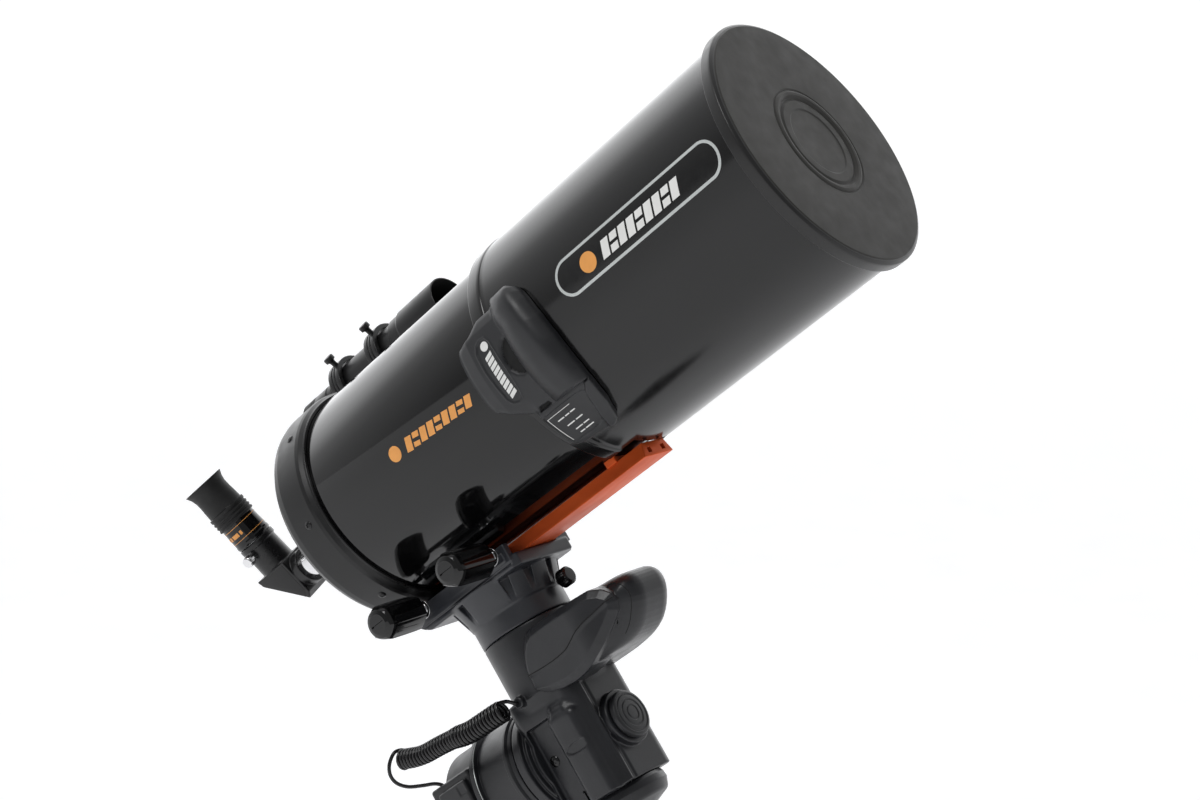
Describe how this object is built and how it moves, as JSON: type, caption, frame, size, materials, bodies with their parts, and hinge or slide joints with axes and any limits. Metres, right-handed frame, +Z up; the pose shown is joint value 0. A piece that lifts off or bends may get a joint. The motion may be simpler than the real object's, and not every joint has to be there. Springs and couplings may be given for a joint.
{
  "type": "schmidt cassegrain telescope on an equatorial mount head",
  "caption": "Compact reflector telescope with corrector plate, dew shield, finder and star diagonal, held by a dovetail on a motor-driven equatorial mount head.",
  "frame": {"origin": "centre of the underside of the azimuth base, where the head sits on its tripod or pier", "axes": "+Z up; +X the horizontal direction that the polar axis leans towards; +Y the far side of the tube, with the clamp knobs on -Y"},
  "size_m": [0.8179, 0.2719, 1.0089],
  "materials": {
    "cast_shell": "fine textured powder coat, satin",
    "moulded_shell": "fine-grained moulded plastic, satin",
    "tube_gloss": "smooth gloss black enamel",
    "shield_gloss": "smooth gloss black over thin aluminium",
    "cell_satin": "satin black on cast aluminium",
    "cap_satin": "satin dark warm grey plastic",
    "dovetail_orange": "orange anodised extrusion, satin",
    "knob_gloss": "gloss black plastic",
    "screw_chrome": "bright plated steel",
    "steel": "machined steel",
    "brass": "machined brass",
    "iron": "painted cast iron",
    "rubber": "matt black rubber",
    "cord_jacket": "soft black cable jacket",
    "glass": "coated optical glass",
    "mirror": "aluminised optical glass",
    "black_anodised": "black anodised, satin"
  },
  "bodies": {
    "base": {"azimuth_base": "cast_shell"},
    "azimuth": {"azimuth_fork": "cast_shell", "altitude_pivot_pin": "steel"},
    "azimuth_knob_far": {"azimuth_knob_far": "knob_gloss"},
    "azimuth_knob_near": {"azimuth_knob_near": "knob_gloss"},
    "altitude_screw_front": {"altitude_screw_front": "screw_chrome"},
    "altitude_screw_rear": {"altitude_screw_rear": "screw_chrome"},
    "altitude": {"ra_housing": "cast_shell", "ra_motor_cover": "moulded_shell", "ra_motor": "steel", "ra_front_bearing": "steel", "dec_cable_coil_rear": "cord_jacket", "dec_cable_lead": "cord_jacket"},
    "ra_worm": {"ra_worm": "brass"},
    "ra_wheel": {"ra_worm_wheel": "brass"},
    "ra_clutch_lever": {"ra_clutch_lever": "steel"},
    "ra": {"ra_shaft": "steel", "dec_housing": "cast_shell", "dec_motor_pod": "moulded_shell", "dec_motor": "steel", "dec_upper_bearing": "steel", "counterweight_collar": "cast_shell", "counterweight_shaft": "screw_chrome", "dec_cable_coil_front": "cord_jacket"},
    "dec_worm": {"dec_worm": "brass"},
    "dec_wheel": {"dec_worm_wheel": "brass"},
    "polar_cap": {"polar_cap": "moulded_shell"},
    "counterweight": {"counterweight": "iron"},
    "counterweight_lock_knob": {"counterweight_lock_knob": "knob_gloss"},
    "safety_nut": {"safety_nut": "screw_chrome"},
    "dec": {"dec_shaft": "steel", "saddle": "cast_shell"},
    "saddle_jaw": {"saddle_jaw": "steel"},
    "saddle_knob_front": {"saddle_knob_front": "knob_gloss"},
    "saddle_knob_rear": {"saddle_knob_rear": "knob_gloss"},
    "dec_clutch_knob": {"dec_clutch_knob": "knob_gloss"},
    "ota": {"dovetail_bar": "dovetail_orange", "optical_tube": "tube_gloss", "front_cell": "cell_satin", "corrector_plate": "glass", "corrector_retainer": "cell_satin", "secondary_cell": "moulded_shell", "secondary_mirror": "mirror", "rear_cell": "cell_satin", "baffle_tube": "black_anodised", "visual_back": "black_anodised", "finder_bracket": "black_anodised", "finder_tube": "cell_satin", "finder_objective": "glass"},
    "finder_eyepiece": {"finder_eyepiece": "rubber"},
    "primary": {"primary_mirror": "mirror"},
    "focus_knob": {"focus_knob": "rubber"},
    "dew_shield": {"dew_shield": "shield_gloss", "handle_housing": "moulded_shell"},
    "front_cap": {"front_cap": "cap_satin"},
    "diagonal": {"diagonal_body": "black_anodised", "diagonal_prism": "glass"},
    "diagonal_thumbscrew": {"diagonal_thumbscrew": "screw_chrome"},
    "eyepiece": {"eyepiece": "black_anodised", "eyepiece_lens": "glass"}
  },
  "joints": [
    {"name": "azimuth_turn", "type": "hinge", "parent": "base", "child": "azimuth", "pos_m": [0, 0, 0.02], "axis": [0, 0, 1], "range_deg": [-8, 8]},
    {"name": "azimuth_knob_far_travel", "type": "slide", "parent": "azimuth", "child": "azimuth_knob_far", "axis": [0, 1, 0], "range_m": [-0.012, 0.012]},
    {"name": "azimuth_knob_near_travel", "type": "slide", "parent": "azimuth", "child": "azimuth_knob_near", "axis": [0, 1, 0], "range_m": [-0.012, 0.012]},
    {"name": "altitude_tilt", "type": "hinge", "parent": "azimuth", "child": "altitude", "pos_m": [0, 0, 0.135], "axis": [0, -1, 0], "range_deg": [-19, 31]},
    {"name": "altitude_screw_front_travel", "type": "slide", "parent": "azimuth", "child": "altitude_screw_front", "axis": [1, 0, 0], "range_m": [-0.022, 0.034]},
    {"name": "altitude_screw_rear_travel", "type": "slide", "parent": "azimuth", "child": "altitude_screw_rear", "axis": [1, 0, 0], "range_m": [-0.022, 0.034]},
    {"name": "ra_worm_spin", "type": "hinge", "parent": "altitude", "child": "ra_worm", "pos_m": [-0.00688, 0, 0.1756], "axis": [0, 1, 0], "continuous": true},
    {"name": "ra_wheel_turn", "type": "hinge", "parent": "altitude", "child": "ra_wheel", "pos_m": [-0.03064, 0, 0.21083], "axis": [0.829, 0, 0.5592], "continuous": true},
    {"name": "ra_clutch", "type": "hinge", "parent": "altitude", "child": "ra_clutch_lever", "pos_m": [-0.04921, 0.066, 0.20796], "axis": [0, 1, 0], "range_deg": [0, 50]},
    {"name": "ra_turn", "type": "hinge", "parent": "altitude", "child": "ra", "pos_m": [0.02573, 0, 0.24885], "axis": [0.829, 0, 0.5592], "range_deg": [-95, 95]},
    {"name": "dec_worm_spin", "type": "hinge", "parent": "ra", "child": "dec_worm", "pos_m": [0.01478, 0, 0.3259], "axis": [0, 1, 0], "continuous": true},
    {"name": "dec_wheel_turn", "type": "hinge", "parent": "ra", "child": "dec_wheel", "pos_m": [-0.01341, 0, 0.30689], "axis": [-0.5592, 0, 0.829], "continuous": true},
    {"name": "polar_cap_pull", "type": "slide", "parent": "ra", "child": "polar_cap", "axis": [0.829, 0, 0.5592], "range_m": [0, 0.03]},
    {"name": "counterweight_slide", "type": "slide", "parent": "ra", "child": "counterweight", "axis": [-0.5592, 0, 0.829], "range_m": [-0.04, 0.075]},
    {"name": "counterweight_lock", "type": "hinge", "parent": "counterweight", "child": "counterweight_lock_knob", "pos_m": [0.19349, -0.05, 0.00014], "axis": [0, 1, 0], "range_deg": [-720, 0]},
    {"name": "safety_nut_off", "type": "slide", "parent": "ra", "child": "safety_nut", "axis": [0.5592, 0, -0.829], "range_m": [0, 0.03]},
    {"name": "dec_turn", "type": "hinge", "parent": "ra", "child": "dec", "pos_m": [-0.04361, 0, 0.35165], "axis": [-0.5592, 0, 0.829], "continuous": true},
    {"name": "dec_clutch", "type": "hinge", "parent": "dec", "child": "dec_clutch_knob", "pos_m": [-0.00617, 0.012, 0.40344], "axis": [0.829, 0, 0.5592], "range_deg": [-120, 0]},
    {"name": "saddle_jaw_slide", "type": "slide", "parent": "dec", "child": "saddle_jaw", "axis": [0, -1, 0], "range_m": [0, 0.00437]},
    {"name": "saddle_knob_front_turn", "type": "hinge", "parent": "saddle_jaw", "child": "saddle_knob_front", "pos_m": [-0.04626, -0.06, 0.43249], "axis": [0, 1, 0], "range_deg": [0, 1260]},
    {"name": "saddle_knob_rear_turn", "type": "hinge", "parent": "saddle_jaw", "child": "saddle_knob_rear", "pos_m": [-0.13497, -0.06, 0.37266], "axis": [0, 1, 0], "range_deg": [0, 1260]},
    {"name": "tube_balance_slide", "type": "slide", "parent": "dec", "child": "ota", "axis": [0.829, 0, 0.5592], "range_m": [-0.06, 0.025]},
    {"name": "focus_knob_turn", "type": "hinge", "parent": "ota", "child": "focus_knob", "pos_m": [-0.25616, 0.052, 0.42179], "axis": [-0.829, 0, -0.5592], "range_deg": [-2880, 2880]},
    {"name": "primary_mirror_focus", "type": "slide", "parent": "ota", "child": "primary", "axis": [0.829, 0, 0.5592], "range_m": [-0.006, 0.006]},
    {"name": "finder_focus", "type": "slide", "parent": "ota", "child": "finder_eyepiece", "axis": [-0.829, 0, -0.5592], "range_m": [0, 0.006]},
    {"name": "dew_shield_pull", "type": "slide", "parent": "ota", "child": "dew_shield", "axis": [0.829, 0, 0.5592], "range_m": [0, 0.15]},
    {"name": "front_cap_pull", "type": "slide", "parent": "dew_shield", "child": "front_cap", "axis": [0.829, 0, 0.5592], "range_m": [0, 0.08]},
    {"name": "diagonal_turn", "type": "hinge", "parent": "ota", "child": "diagonal", "pos_m": [-0.35908, 0, 0.37408], "axis": [0.829, 0, 0.5592], "continuous": true},
    {"name": "diagonal_thumbscrew_turn", "type": "hinge", "parent": "diagonal", "child": "diagonal_thumbscrew", "pos_m": [-0.37665, -0.04505, 0.40012], "axis": [-0.2095, 0.9272, 0.3106], "range_deg": [-720, 0]},
    {"name": "eyepiece_pull", "type": "slide", "parent": "diagonal", "child": "eyepiece", "axis": [-0.5185, -0.3746, 0.7687], "range_m": [0, 0.032]}
  ],
  "couplings": [
    {"joint": "azimuth_knob_far_travel", "follows": "azimuth_turn", "m_per_rad": -0.077},
    {"joint": "azimuth_knob_near_travel", "follows": "azimuth_turn", "m_per_rad": -0.077},
    {"joint": "altitude_screw_front_travel", "follows": "altitude_tilt", "m_per_rad": 0.0601},
    {"joint": "altitude_screw_rear_travel", "follows": "altitude_tilt", "m_per_rad": 0.0601},
    {"joint": "ra_worm_spin", "follows": "ra_wheel_turn", "ratio": 144},
    {"joint": "dec_worm_spin", "follows": "dec_wheel_turn", "ratio": 144},
    {"joint": "saddle_knob_front_turn", "follows": "saddle_jaw_slide", "rad_per_m": 5026.5},
    {"joint": "saddle_knob_rear_turn", "follows": "saddle_jaw_slide", "rad_per_m": 5026.5},
    {"joint": "focus_knob_turn", "follows": "primary_mirror_focus", "rad_per_m": 8377.6}
  ]
}
